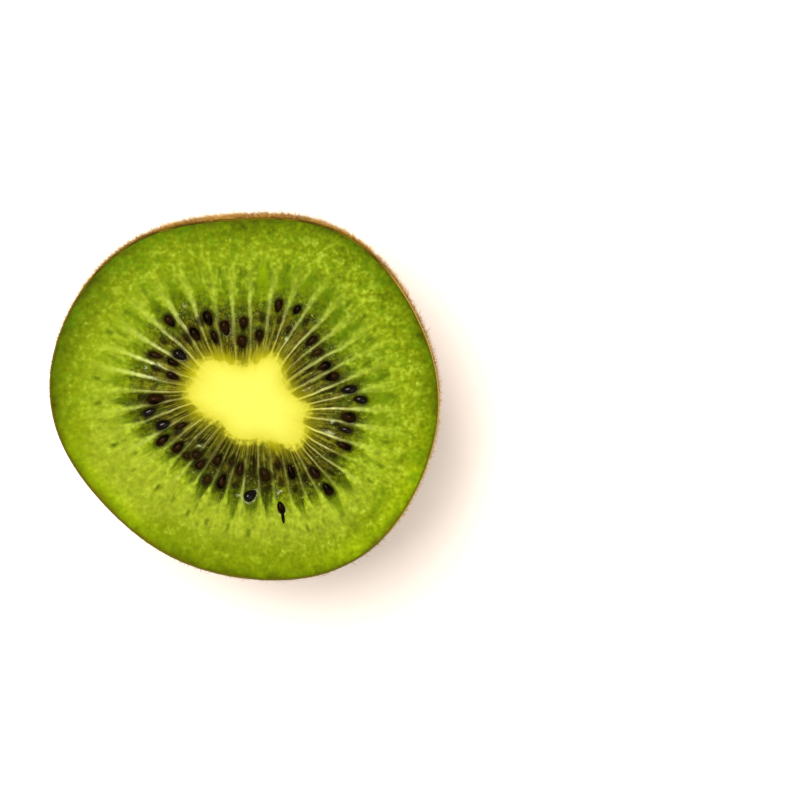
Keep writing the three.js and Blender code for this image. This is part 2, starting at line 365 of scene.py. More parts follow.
class Value:
    """A number or colour on its way through a finish. Arithmetic on numbers adds Math nodes."""

    def __init__(self, finish, socket):
        self.finish = finish
        self.socket = socket

    def math(self, operation, *others):
        inputs = dict(enumerate((self, *others)))
        return self.finish.node("ShaderNodeMath", {"operation": operation}, inputs)

    def __add__(self, other):
        return self.math("ADD", other)

    def __sub__(self, other):
        return self.math("SUBTRACT", other)

    def __rsub__(self, other):
        return self.finish.node("ShaderNodeMath", {"operation": "SUBTRACT"}, {0: other, 1: self})

    def __mul__(self, other):
        return self.math("MULTIPLY", other)

    def __truediv__(self, other):
        return self.math("DIVIDE", other)

    def __mod__(self, other):
        return self.math("FLOORED_MODULO", other)

    def floor(self):
        return self.math("FLOOR")

    def abs(self):
        return self.math("ABSOLUTE")

    def fade(self, start, end):
        """0 at start and 1 at end, and level beyond them; start may be the higher one."""
        low, high = min(start, end), max(start, end)
        inputs = {"Value": self, "From Min": low, "From Max": high}
        made = self.finish.node("ShaderNodeMapRange", {"interpolation_type": "SMOOTHSTEP"}, inputs)
        return made if start < end else 1 - made

    __radd__, __rmul__ = __add__, __mul__


def tone(red, green, blue):
    """A colour given as 0 to 255."""
    shares = [c / 255 for c in (red, green, blue)]
    return (*[c / 12.92 if c <= 0.04045 else ((c + 0.055) / 1.055) ** 2.4 for c in shares], 1)


def seen(red, green, blue):
    """The tone that the cut face must have to look like this under the lamps."""
    return (*[c / LIGHT for c in tone(red, green, blue)[:3]], 1)


def seen_stops(*rows):
    """Stops of a ramp: each row has a place from 0 to 1, then the red, green and blue that are seen."""
    return [(place, seen(*colour)) for place, *colour in rows]


class Finish:
    """One material. node() makes any node, and the other methods the few that the finishes here share."""

    def __init__(self, name):
        self.material = bpy.data.materials.new(name)
        self.material.use_nodes = True
        self.tree = self.material.node_tree
        self.tree.nodes.clear()
        self.output = self.tree.nodes.new("ShaderNodeOutputMaterial")
        self.position = self.node("ShaderNodeTexCoord", output="Object")

    def node(self, kind, settings=None, inputs=None, output=0):
        made = self.tree.nodes.new(kind)
        for key, value in (settings or {}).items():
            setattr(made, key, value)
        for key, value in (inputs or {}).items():
            if isinstance(value, Value):
                self.tree.links.new(value.socket, made.inputs[key])
            else:
                made.inputs[key].default_value = value
        return Value(self, made.outputs[output])

    def mix(self, share, first, second):
        return self.node("ShaderNodeMix", {"data_type": "RGBA"}, {0: share, 6: first, 7: second}, 2)

    def scaled(self, colour, factor):
        """A colour made lighter or darker."""
        inputs = {"Vector": colour, "Scale": factor}
        return self.node("ShaderNodeVectorMath", {"operation": "SCALE"}, inputs, "Vector")

    def ramp(self, share, stops):
        made = self.node("ShaderNodeValToRGB", {}, {"Fac": share}, "Color")
        elements = made.socket.node.color_ramp.elements
        for element, (position, colour) in zip(elements, (stops[0], stops[-1])):
            element.position, element.color = position, colour
        for position, colour in stops[1:-1]:
            elements.new(position).color = colour
        return made

    def part(self, vector, axis):
        return self.node("ShaderNodeSeparateXYZ", {}, {"Vector": vector}, axis)

    def vector(self, x, y, z):
        return self.node("ShaderNodeCombineXYZ", {}, {"X": x, "Y": y, "Z": z})

    def measured(self, name):
        return self.node("ShaderNodeAttribute", {"attribute_name": name}, {}, "Fac")

    def noise(self, size, at=None, detail=2.0, roughness=0.5):
        """Noise from 0 to 1 with features of that size."""
        inputs = {"Vector": at or self.position, "Scale": 1 / size}
        inputs |= {"Detail": detail, "Roughness": roughness}
        return self.node("ShaderNodeTexNoise", {}, inputs, "Fac")

    def cells(self, size, at=None):
        """Distance to the nearest of many scattered points, 0 at a point and about 0.5 between them."""
        inputs = {"Vector": at or self.position, "Scale": 1 / size}
        return self.node("ShaderNodeTexVoronoi", {}, inputs, "Distance")

    def draw(self, number):
        """A random number from 0 to 1 for each whole number."""
        return self.node("ShaderNodeTexWhiteNoise", {"noise_dimensions": "1D"}, {"W": number}, "Value")

    def bump(self, height, distance, strength=1.0):
        inputs = {"Height": height, "Distance": distance, "Strength": strength}
        return self.node("ShaderNodeBump", {}, inputs, "Normal")

    def surface(self, **inputs):
        """Ends the finish in one Principled shader."""
        named = {key.replace("_", " "): value for key, value in inputs.items()}
        shader = self.node("ShaderNodeBsdfPrincipled", {}, named)
        self.tree.links.new(shader.socket, self.output.inputs["Surface"])
        return self.material


# Tones from the core's edge, 0, out to the rim, 1.
WALL_TONES = seen_stops(
    (0.0, 146, 146, 14), (0.3, 130, 150, 8), (0.5, 148, 168, 18), (0.66, 153, 172, 20),
    (0.76, 151, 170, 16), (0.84, 141, 159, 10), (0.89, 130, 148, 6), (0.93, 121, 139, 4),
    (0.96, 110, 128, 2), (0.985, 98, 112, 2), (1.0, 92, 96, 2),
)
LOCULE_TONES = seen_stops(
    (0.0, 154, 148, 10), (0.05, 124, 118, 2), (0.11, 92, 86, 2), (0.17, 78, 73, 2),
    (0.28, 82, 80, 4), (0.38, 100, 108, 4), (0.46, 103, 118, 2), (0.56, 98, 120, 2),
    (0.65, 112, 136, 4),
)
RAY_TONES = seen_stops(
    (0.0, 230, 224, 80), (0.07, 228, 222, 104), (0.16, 214, 210, 122), (0.3, 208, 210, 116),
    (0.42, 202, 216, 98), (0.55, 196, 212, 70), (0.75, 174, 194, 40),
)
# The core's tones, from its middle, 0, out to its edge, 1.
CORE_TONES = seen_stops(
    (0.0, 254, 253, 106), (0.5, 253, 250, 102), (0.7, 250, 244, 94), (0.85, 243, 235, 82),
    (0.95, 232, 225, 72), (1.0, 214, 206, 56),
)


class FleshFinish(Finish):
    """Green flesh: a pale core, pale rays, dark locules between them, and a grainy outer wall."""

    def __init__(self):
        super().__init__("wet_green_flesh")
        turned = self.node("ShaderNodeUVMap", {"uv_map": "Turned"})
        share_round, self.reach = self.part(turned, "X"), self.part(turned, "Y")
        self.out = self.reach - 1
        self.right = self.part(self.position, "X") / FACE_RADIUS
        self.up = self.part(self.position, "Y") / FACE_RADIUS
        self.mottle = self.noise(1.1 * MM, detail=1.3, roughness=0.95)
        self.grain = self.noise(0.36 * MM, detail=1, roughness=0.6)
        self.gloom = self.noise(0.8 * MM, detail=2, roughness=0.6)
        self.broken = self.noise(0.55 * MM, detail=1)

        # Streaks follow the rays, and have no seam because they are read on a circle.
        self.east = (share_round * TAU).math("COSINE")
        self.north = (share_round * TAU).math("SINE")
        self.streaks = self.noise(1 / 22, self.along_rays(0.16), detail=3)
        self.fine_streaks = self.noise(1 / 60, self.along_rays(0.1))
        self.flecks = self.noise(1 / 34, self.along_rays(0.7), roughness=0.6)

        # Distances from the nearest ray and from the middle of a locule, as shares of a sector.
        sway = self.noise(1 / 7, self.along_rays(1), detail=1)
        place = share_round * RAY_COUNT + (sway - 0.5) * 0.18
        self.off_ray = (place - (place + 0.5).floor()).abs()
        self.off_middle = 0.5 - self.off_ray
        self.locule_number = place.floor() % RAY_COUNT

        flare = (self.reach - 1.28).math("MAXIMUM", 0.0)
        ray_width = 0.088 + flare * flare * 0.6 * (0.5 + self.streaks)
        self.ray = (self.off_ray / ray_width).fade(1.75, 0.1) * self.reach.fade(1.8, 1.4)
        further = self.reach.fade(1.12, 1.34)
        self.pale = self.measured("pale_near") * (1 - further) + self.measured("pale_far") * further
        # Painted highlight: a whitish wet gleam on the palest stretch of the rays. It also sets where a thin
        # coat lies.
        self.gleam = self.ray * self.pale.fade(0.4, 0.9) * (0.4 + 0.6 * self.mottle.fade(0.46, 0.6))
        self.gleam *= self.reach.fade(1.12, 1.22) * self.reach.fade(1.5, 1.32)

    def along_rays(self, stretch):
        """A place for noise that is drawn out along the rays, more so where stretch is small."""
        return self.vector(self.east, self.north, self.reach * stretch)

    def wall(self):
        """The outer wall: lightest beyond the seeds, darker under the skin and towards the top, mottled. Its
        darker top and paler lower left are partly its own tone and partly painted shade and light.
        """
        reach, right, up, mottle = self.reach, self.right, self.up, self.mottle
        dull_green, light_green = seen(92, 118, 2), seen(206, 226, 84)
        blotch = self.noise(4 * MM)
        wall = self.ramp(self.out + (blotch - 0.5) * 0.12, WALL_TONES)
        # Partly painted shade and light: the wall is darker towards the top and upper right and paler low on
        # the left, partly its own tone and partly as the light fell.
        wall = self.mix(up.fade(-0.2, 0.8) * reach.fade(1.4, 1.6) * 0.2, wall, dull_green)
        upper_right = (up * 0.8 + right * 0.6).fade(0.1, 0.7)
        wall = self.mix(upper_right * reach.fade(1.75, 1.6) * 0.45, wall, dull_green)
        lower_left = (up * 0.9 + right * 0.35).fade(-0.02, -0.5)
        outer_left = right.fade(-0.3, -0.55) * up.fade(-0.1, -0.4)
        pale_wall = reach.fade(1.42, 1.56) * (reach - outer_left * 0.15).fade(1.8, 1.66)
        wall = self.mix(lower_left * pale_wall * 0.5, wall, seen(174, 186, 44))

        # Lighter near the rim low down and darker to the upper left and at the bottom: partly painted light
        # and shade, partly the wall's own tone.
        bright_rim = up.fade(0.0, -0.55) * (0.15 + 0.85 * right.abs().fade(0.3, 0.62))
        bright_rim *= reach.fade(1.8, 1.96)
        shade = (up * 0.5 - right).fade(0.8, 1.1) * reach.fade(1.5, 1.7)
        shade += up.fade(-0.4, -0.8) * reach.fade(1.6, 1.7) * reach.fade(1.9, 1.8) * 0.6
        coarse = 0.74 + right * 0.2 + up * 0.18
        uneven = (mottle * 0.65 + self.flecks * 0.35 - 0.5) * coarse
        wall = self.scaled(wall, (uneven * 2.6 + 1) * (1 + bright_rim * 0.7 - shade * 0.18))

        wall = self.mix(uneven.fade(0.0, 0.14) * reach.fade(1.98, 1.8) * 0.3, wall, seen(208, 226, 84))
        pale_streaks = self.streaks.fade(0.5, 0.68) * reach.fade(1.85, 1.6)
        wall = self.mix(pale_streaks * 0.4, wall, seen(190, 208, 52))
        greener = self.noise(1.7 * MM, detail=1).fade(0.45, 0.7) * reach.fade(1.5, 1.8)
        wall = self.mix(greener * (1 - lower_left * 0.7) * 0.35, wall, seen(98, 146, 4))
        # Pale specks: partly the wall's own cells and partly painted sparkle of wet light, stronger towards
        # the rim.
        specks_and_sparkle = self.cells(0.95 * MM).fade(0.28, 0.06) * mottle.fade(0.47, 0.62) * reach.fade(1.97, 1.85)
        wall = self.mix(specks_and_sparkle * coarse * (0.3 + reach.fade(1.65, 1.8) * 0.4), wall, light_green)
        fingers = self.off_middle.fade(0.4, 0.05) * self.streaks.fade(0.66, 0.4) * reach.fade(1.78, 1.5)
        return self.mix(fingers * self.measured("green_beyond") * 0.9, wall, seen(86, 120, 4))

    def bundles_over(self, colour):
        """A small dark green bundle beyond the end of most locules, and a few strays."""
        reach, draw = self.reach, self.draw(self.locule_number + 200)
        bundle_reach = (reach - 1.645 - (draw - 0.5) * 0.08).abs()
        bundle = self.off_middle.fade(0.14, 0.03) * bundle_reach.fade(0.045, 0.01) * draw.fade(0.1, 0.6)
        stray = self.cells(1 / 11, self.along_rays(0.6)).fade(0.24, 0.08)
        stray *= reach.fade(1.45, 1.58) * reach.fade(1.8, 1.66)
        return self.mix(bundle * 0.7 + stray * 0.45, colour, seen(84, 106, 4))

    def locule(self):
        """1 inside a locule and 0 outside it. It melts into the wall at its outer end."""
        end = self.measured("locule_end") + 0.11 + (self.streaks - 0.5) * 0.3 + (self.mottle - 0.5) * 0.1
        taper = ((self.reach - 1.3) / (end - 1.3)).math("MAXIMUM", 0.0)
        half_width = 0.7 - 0.7 * taper.math("POWER", 1.15) + (self.fine_streaks - 0.5) * 0.3
        return (half_width - self.off_middle).fade(-0.08, 0.14) * (end - self.reach).fade(0.0, 0.15)

    def locule_flesh(self):
        """The flesh in the locules: dark and brownish near the core, greener further out, with painted
        glints.
        """
        reach, up, gloom, fine_streaks = self.reach, self.up, self.gloom, self.fine_streaks
        dark = self.ramp(self.out, LOCULE_TONES)
        deep = gloom.fade(0.56, 0.38) * reach.fade(1.04, 1.16) * reach.fade(1.5, 1.36)
        dark = self.mix(deep * 0.6, dark, seen(26, 26, 2))
        dark = self.mix(gloom.fade(0.52, 0.7) * 0.4, dark, seen(110, 120, 20))
        threads = self.streaks.fade(0.5, 0.66) * reach.fade(1.42, 1.2) * reach.fade(1.03, 1.1)
        dark = self.mix(threads * 0.3, dark, seen(140, 138, 36))
        near_core = reach.fade(1.36, 1.14) * reach.fade(1.03, 1.09)
        dark = self.mix(fine_streaks.fade(0.48, 0.38) * near_core * 0.7, dark, seen(34, 24, 2))
        dark = self.mix(fine_streaks.fade(0.52, 0.62) * near_core * 0.5, dark, seen(148, 142, 38))
        hue = self.noise(1.5 * MM, detail=1) + up * 0.06
        dark = self.mix(hue.fade(0.5, 0.64) * reach.fade(1.1, 1.25) * 0.38, dark, seen(66, 94, 10))
        brown = hue.fade(0.48, 0.36) * reach.fade(1.36, 1.2) * reach.fade(1.04, 1.12)
        dark = self.mix(brown * 0.3, dark, seen(78, 54, 8))
        dark = self.scaled(dark, self.measured("locule_light") * 1.2 + 0.55)

        among_seeds = reach.fade(1.06, 1.16) * reach.fade(1.6, 1.45)
        clutter = self.noise(1.3 * MM, detail=3, roughness=0.7).fade(0.46, 0.62) * among_seeds
        dark = self.mix(clutter * 0.5, dark, seen(36, 42, 4))
        # Painted glints: small pale dots where the wet flesh among the seeds catches the light, more of them
        # on the right.
        glint_dots = self.noise(0.3 * MM, roughness=0.6).fade(0.57, 0.68) * among_seeds
        glint_dots *= (clutter * 0.6 + 0.06) * (0.85 + self.right * 0.5)
        return self.mix(glint_dots, dark, seen(176, 186, 92))

    def rays_over(self, colour):
        """Pale rays that leave the core and melt into the wall, with a painted highlight on the palest, finer
        ones between, and uneven lightness.
        """
        reach, broken, ray, fine_streaks = self.reach, self.broken, self.ray, self.fine_streaks
        lit = 0.55 + 0.5 * fine_streaks.fade(0.32, 0.6) + 0.15 * broken.fade(0.35, 0.6)
        lit *= self.pale * 0.9 + 0.16
        colour = self.mix((ray * lit).math("MINIMUM", 1.0), colour, self.ramp(self.out, RAY_TONES))
        # Painted highlight: the whitish gleam on the rays.
        colour = self.mix(self.gleam * fine_streaks.fade(0.4, 0.6) * 0.8, colour, seen(230, 236, 160))
        some = (self.draw(self.locule_number + 100) + self.up.fade(0.1, -0.3)).fade(0.3, 0.8)
        thin = self.off_middle.fade(0.1, 0.02) * reach.fade(1.34, 1.1) * some
        colour = self.mix(thin * (0.2 + broken * 0.6), colour, seen(150, 148, 46))
        rough = (self.mottle * 0.5 + broken * 0.5 - 0.5) * reach.fade(1.05, 1.15) * reach.fade(1.62, 1.4)
        return self.scaled(colour, rough * (1.8 - ray * 1.1) + 1)

    def seeds_over(self, colour):
        """Painted shade in the hollows round the seeds that show, soft dark spots where those below show
        through the flesh, and painted highlights on wet edges and gleams.
        """
        # Painted shade in the hollows round the seeds.
        colour = self.mix(self.measured("pocket_shade") * 0.8, colour, seen(28, 22, 2))
        colour = self.mix(self.measured("buried") * (0.6 + 0.4 * self.gloom), colour, seen(28, 18, 2))
        # Painted highlights on the wet edges and gleams.
        return self.mix(self.measured("wet_glint") * self.grain.fade(0.35, 0.55), colour, seen(216, 220, 158))

    def core_over(self, colour):
        """The core, with a soft, toothed edge."""
        edge = self.reach - self.measured("core_edge") + (self.gloom - 0.5) * 0.05
        edge += (self.streaks - 0.5) * 0.05 - self.ray * self.pale * 0.03
        teeth = (self.off_ray - 0.25) * (0.035 + self.up.fade(0.1, 0.3) * 0.08) + (self.broken - 0.5) * 0.09
        edge += teeth * self.reach.fade(0.8, 0.95)
        return self.mix(edge.fade(1.045, 0.975), colour, self.ramp(edge, CORE_TONES))


def flesh_finish():
    fin = FleshFinish()
    colour = fin.bundles_over(fin.wall())
    colour = fin.mix(fin.locule(), colour, fin.locule_flesh())
    colour = fin.rays_over(colour)
    colour = fin.seeds_over(colour)
    height = fin.grain * 0.3 + fin.mottle * 0.7 + fin.fine_streaks * 0.3
    return fin.surface(
        Base_Color=fin.core_over(colour),
        Roughness=0.3 + fin.grain * 0.14,
        Normal=fin.bump(height, 0.2 * MM, 0.5),
        Specular_IOR_Level=0.015,
        Coat_Weight=fin.gleam * 0.3,
        Coat_Roughness=0.2,
        Subsurface_Weight=0.06,
        Subsurface_Radius=(1.0, 0.9, 0.3),
        Subsurface_Scale=0.4 * MM,
    )


def skin_finish():
    """Brown skin: patchy, golden near the rim, and greenish to tan where the knife cut through it."""
    fin = Finish("brown_skin")
    mottle = fin.noise(4 * MM, detail=4, roughness=0.6)
    grain = fin.noise(0.5 * MM, detail=3, roughness=0.65)
    pores = fin.cells(0.75 * MM)
    across, up, height = (fin.part(fin.position, axis) for axis in "XYZ")
    row = fin.part(fin.node("ShaderNodeUVMap", {"uv_map": "Turned"}), "Y")
    colour = fin.mix(mottle.fade(0.38, 0.62), tone(112, 62, 10), tone(152, 98, 24))
    colour = fin.mix(grain.fade(0.56, 0.36) * 0.75, colour, tone(74, 34, 4))
    colour = fin.mix(pores.fade(0.3, 0.1) * 0.5, colour, tone(180, 128, 48))
    near_rim = height + (mottle - 0.5) * 12 * MM
    colour = fin.mix(near_rim.fade(DEPTH - 7 * MM, DEPTH - 1 * MM) * 0.45, colour, tone(160, 114, 6))
    golden = (height + (mottle - 0.5) * 2 * MM).fade(DEPTH - 3 * MM, DEPTH - 0.5 * MM)
    colour = fin.mix(golden * 0.6, colour, tone(166, 136, 20))
    dried = (height + (grain - 0.5) * 1.5 * MM).fade(DEPTH - 1.2 * MM, DEPTH - 0.4 * MM)
    colour = fin.mix(dried * across.fade(20 * MM, 14 * MM) * 0.85, colour, tone(80, 62, 4))
    cut = fin.mix(across.fade(19 * MM, 23 * MM), tone(78, 62, 4), tone(184, 152, 78))
    dark_edge = fin.mix(mottle.fade(0.42, 0.58), tone(68, 46, 2), tone(104, 88, 6))
    inner = fin.mix(up.fade(6 * MM, 18 * MM), tone(84, 82, 6), dark_edge)
    cut = fin.mix(row.fade(SKIN_EDGE + 0.4, SKIN_EDGE + 1.6), cut, inner)
    colour = fin.mix(row.fade(SKIN_EDGE - 0.9, SKIN_EDGE), colour, cut)
    return fin.surface(
        Base_Color=colour,
        Roughness=0.6 + grain * 0.2,
        Normal=fin.bump(grain * 0.6 + pores * 0.4, 0.25 * MM, 0.9),
        Specular_IOR_Level=0.06,
    )


def seed_finish():
    """Black-brown seeds; the deeper ones take on the flesh's tone, and the wet ones glint."""
    fin = Finish("black_seed_coat")
    blotch = fin.noise(1.6 * MM)
    pits = fin.cells(0.16 * MM)
    colour = fin.mix(blotch.fade(0.38, 0.65), seen(2, 1, 0), seen(39, 20, 4))
    colour = fin.mix(fin.measured("depth").fade(0.15, 0.4) * 0.6, colour, seen(50, 36, 6))
    wet_glint = fin.measured("wet_glint")
    colour = fin.mix(wet_glint * 0.8, colour, seen(2, 0, 0))
    return fin.surface(
        Base_Color=colour,
        Roughness=0.22 + blotch * 0.12 - wet_glint * 0.14,
        Normal=fin.bump(pits, 0.02 * MM, 0.4),
        Specular_IOR_Level=0.055,
        Specular_Tint=(1.0, 0.6, 0.34, 1),
        Coat_Weight=wet_glint * 0.2,
        Coat_Roughness=0.05,
    )


def hair_finish(name, root, middle, tip):
    """Hair that turns from the root's tone to the tip's, with browner patches."""
    fin = Finish(name)
    along = fin.measured("along") + (fin.noise(0.8 * MM, detail=1) - 0.5) * 0.8
    patch = fin.noise(6 * MM)
    colour = fin.ramp(along, [(0.05, root), (0.45, middle), (0.95, tip)])
    colour = fin.mix(patch.fade(0.6, 0.4) * 0.4, colour, tone(104, 56, 10))
    return fin.surface(Base_Color=colour, Roughness=0.6, Specular_IOR_Level=0.08)


def scar_finish():
    fin = Finish("woody_scar")
    grain = fin.noise(0.4 * MM, detail=4, roughness=0.7)
    colour = fin.mix(grain.fade(0.35, 0.65), tone(60, 38, 20), tone(130, 96, 60))
    normal = fin.bump(grain, 0.2 * MM, 0.9)
    return fin.surface(Base_Color=colour, Roughness=0.85, Normal=normal, Specular_IOR_Level=0.2)


# ---- The flesh ----
STEPS_PER_RAY = 15
CORE_RINGS = 20
FLESH_RINGS = 108
SIDE_RINGS = 12
SIDE_GAP = 0.25 * MM  # how much further in than the skin's thickness the flesh's side lies
RAY_RIDGE = 0.05 * MM
LOCULE_SINK = 0.13 * MM
COLLAR_RISE = 0.08 * MM
FACE_GRAIN = 0.03 * MM


def face_relief(place, reach, plan):
    """Small forms of the cut face: ridged rays, sunken locules, collars round the seeds, and grain."""
    off_ray = np.abs(place - np.round(place)) * 2
    ring = smoothstep(1.0, 1.1, reach) * (1 - smoothstep(1.42, 1.6, reach))
    ridge = RAY_RIDGE * (1 - smoothstep(0.1, 0.4, off_ray))
    relief = ring * (ridge - LOCULE_SINK * smoothstep(0.25, 0.7, off_ray))
    for seed in SEEDS:
        relief += COLLAR_RISE * np.exp(-(((seed_distance(plan, seed) - 1.15) / 0.25) ** 2))
    grain = rough(np.column_stack([plan, np.zeros(len(plan))]), 0.6 * MM)
    return relief + FACE_GRAIN * grain * (0.3 + 0.7 * smoothstep(0.9, 1.2, reach))


def flesh_point(angle, station):
    """Station 0 to 2 is the reach over the face, 2 to 3 the side under the skin, and 3.1 the lowest point."""
    reach = np.minimum(station, 2)
    plan = face_plan(angle, reach)
    face = np.column_stack([plan, DEPTH + face_swell(reach)])
    top = station <= 2
    face[top, 2] += face_relief(ray_place(angle[top], reach[top]), reach[top], plan[top])
    side, normal, _ = wall_frame(angle, station - 2)
    side -= normal * (SKIN_THICKNESS + SIDE_GAP * smoothstep(2, 2.12, station))[:, None]
    side[station > 3] = (0, 0, 2 * SKIN_THICKNESS)
    return np.where(top[:, None], face, side)


def measure_seeds(mesh):
    """Keeps how much each point lies in the painted shade of a seed's hollow, under a painted highlight on a
    wet edge or gleam, or over a buried seed.
    """
    points = positions(mesh)
    plan = points[:, :2]
    on_face = points[:, 2] > DEPTH - 1.2 * MM
    pocket_shade, wet_glint, buried = np.zeros((3, len(points)))
    for i, seed in enumerate(SEEDS):
        away = seed_distance(plan, seed)
        # Painted shade in the hollow round each seed that sits in the flesh.
        pocket_shade = np.maximum(pocket_shade, (1 - smoothstep(1.0, 1.7, away)) * (seed[5] > 0))
        lit_side = 0.5 + 0.5 * np.cos(direction_from(seed_middle(*seed[:2], 0), points) + 0.9)
        # Painted highlight along the lit side of a seed's wet edge.
        edge = np.exp(-(((away - 1.18) / 0.09) ** 2)) * lit_side
        wet_glint = np.maximum(wet_glint, edge * EDGE_GLINTS.get(i, 0))
    # Painted highlights on the wet spots in GLEAMS.
    for gleam in GLEAMS:
        wet_glint = np.maximum(wet_glint, 0.75 * (1 - smoothstep(0.2, 1.2, seed_distance(plan, gleam))))
    for seed in BURIED_SEEDS:
        buried = np.maximum(buried, 1 - smoothstep(0.7, 1.35, seed_distance(plan, seed)))
    measure(mesh, "pocket_shade", pocket_shade * on_face)
    measure(mesh, "wet_glint", wet_glint * on_face)
    measure(mesh, "buried", buried * on_face)


def measure_rays(mesh):
    """Keeps what the rows of RAYS say, a ray's own at the ray and a locule's in its middle."""
    place = turned_place(mesh)
    directions = [INNER_DIRECTION[-1] - 360, *INNER_DIRECTION, INNER_DIRECTION[0] + 360]
    direction = np.interp(place % RAY_COUNT, np.arange(-1, RAY_COUNT + 1), directions)
    measure_round(mesh, "core_edge", direction / EDGE_STEP, np.array(CORE_EDGE) / 1000)
    measure_round(mesh, "pale_near", place, PALE_NEAR / FULL_MARK)
    measure_round(mesh, "pale_far", place, PALE_FAR / FULL_MARK)
    measure_round(mesh, "locule_end", place - 0.5, LOCULE_END)
    measure_round(mesh, "green_beyond", place - 0.5, GREEN_BEYOND / FULL_MARK)
    measure_round(mesh, "locule_light", place - 0.5, LOCULE_LIGHT / FULL_MARK)


def make_flesh():
    stations = [i / CORE_RINGS for i in range(CORE_RINGS)]
    stations += [1 + i / FLESH_RINGS for i in range(FLESH_RINGS + 1)]
    stations += [2.04] + [2 + i / SIDE_RINGS for i in range(1, SIDE_RINGS + 1)] + [3.1]

    def share_round(angle, station):
        return ray_place(angle, np.minimum(station, 2)) / RAY_COUNT

    mesh = spun("flesh", stations, RAY_COUNT * STEPS_PER_RAY, flesh_point, share_round)
    measure_seeds(mesh)
    measure_rays(mesh)
    flesh = object_of("flesh", mesh, flesh_finish())
    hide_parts(NODE)


# ---- The skin ----
SKIN_STEPS = 360
SKIN_RINGS = 130
INNER_RINGS = 20
SKIN_LUMPS = 0.15 * MM
SKIN_PIMPLES = 0.06 * MM

# The shell's profile, from the lowest point outside, over the cut edge, to the lowest point inside:
# share of the way out, station down the side, and depth under the outside as a share of the thickness.
SKIN_PROFILE = [(0, 1, 0), (0.5, 1, 0)]
SKIN_PROFILE += [(1, 1 - i / SKIN_RINGS, 0) for i in range(SKIN_RINGS)]
SKIN_EDGE = len(SKIN_PROFILE)  # the first row of the cut edge
SKIN_PROFILE += [(1, 0, 0.05), (1, 0, 0.35), (1, 0, 0.7), (1, 0, 1)]
SKIN_INSIDE = len(SKIN_PROFILE)  # the first row of the inner side
SKIN_PROFILE += [(1, i / INNER_RINGS, 1) for i in range(1, INNER_RINGS + 1)] + [(0.5, 1, 1), (0, 1, 1)]


def skin_point(angle, row):
    """A point of the shell: lumpy outside, level round the resting spot, with a ragged cut edge."""
    row = np.round(row).astype(int)
    spread, station, depth = np.array(SKIN_PROFILE).T[:, row]
    points, normal, _ = wall_frame(angle, station)
    points = np.where((station == 0)[:, None], wall_point(angle, station), points)
    settle = np.clip(points[:, 2] / (1.5 * MM), 0, 1) * (depth == 0)
    swell = SKIN_LUMPS * (rough(points, 9 * MM, 3) - 1) + SKIN_PIMPLES * rough(points, 1.1 * MM, 5)
    points += normal * (swell * settle - depth * SKIN_THICKNESS * 1.15)[:, None]
    bottom = station == 1
    points[bottom, 2] = depth[bottom] * SKIN_THICKNESS * 0.9
    points[:, :2] *= spread[:, None]
    edge = (row >= SKIN_EDGE) & (row < SKIN_INSIDE)
    ragged = 1 + rough(wall_point(angle, angle * 0), 1.3 * MM, 11)
    swelling = np.sin(math.pi * np.clip(depth[edge], 0.1, 0.9))
    points[edge, 2] += (0.04 * MM + 0.05 * MM * ragged[edge]) * swelling
    return points


def make_skin():
    stations = range(len(SKIN_PROFILE))
    object_of("skin", spun("skin", stations, SKIN_STEPS, skin_point), skin_finish())


# ---- The seeds ----
SEED_SEGMENTS = 16
SEED_RINGS = 12
SEED_DIP = 0.3  # from a tip that points down to one that points up, in radians


def make_seeds():
    """Drops with a blunt and a pointed end, each dipped a little and turned its own way."""
    bm = bmesh.new()
    bmesh.ops.create_uvsphere(bm, u_segments=SEED_SEGMENTS, v_segments=SEED_RINGS, radius=1)
    bm.verts.index_update()
    ball = np.array([(vert.co.z, vert.co.x, vert.co.y) for vert in bm.verts])
    faces = [tuple(vert.index for vert in face.verts) for face in bm.faces]
    bm.free()
    points, depth, wet_glint = [], [], []
    for i, (direction, reach, turn, length, width, sink) in enumerate([*SEEDS, SEED_TAIL]):
        along = ball[:, 0]
        girth = width / 2 * (1 - SEED_TAPER * along) * (1 + 0.05 * np.sin(3 * along + i))
        sides = ball[:, 1] * girth, ball[:, 2] * girth * SEED_FLATNESS
        shape = np.column_stack([along * length / 2, *sides]) * MM
        tip, spin = SEED_DIP * (chance(i + 60) - 0.5), math.radians(turn)
        dip = np.array([[math.cos(tip), 0, math.sin(tip)], [0, 1, 0], [-math.sin(tip), 0, math.cos(tip)]])
        east, north = math.cos(spin), math.sin(spin)
        swing = np.array([[east, -north, 0], [north, east, 0], [0, 0, 1]])
        points.append(shape @ dip.T @ swing.T + seed_middle(direction, reach, sink))
        depth.append(np.full(len(ball), sink))
        wet_glint.append(np.full(len(ball), float(i in WET_SEEDS)))
    mesh = joined("seeds", np.array(points), faces)
    measure(mesh, "depth", np.concatenate(depth))
    measure(mesh, "wet_glint", np.concatenate(wet_glint))
    object_of("seeds", mesh, seed_finish())


# ---- The fuzz ----
HAIRS = 18000
LONG_HAIRS = 1200
RIM_HAIRS = 8000
WORN_SIDE = 205  # the direction in degrees where the fuzz is shortest
WORN_SPREAD = 45  # how far round it grows longer again, in degrees
HAIR_REACH = 1.5 * MM  # how far a hair may stand off the skin
HAIR_ROOT = 0.2 * MM  # how deep it starts under the skin
TRIM_HEIGHT = 0.6 * MM  # how far a hair may stand above the cut face, which the knife trimmed


def scattered(draw, count, lowest):
    """Angles and stations spread evenly over the side's area, down to the lowest station."""
    stations = np.linspace(0, lowest, 400)
    line = wall_point(stations * 0, stations)
    lengths = np.linalg.norm(np.diff(line, axis=0), axis=1)
    area = np.concatenate([[0], np.cumsum(lengths * (line[1:, 0] + line[:-1, 0]))])
    return draw.random(count) * TAU, np.interp(draw.random(count) * area[-1], area, stations)


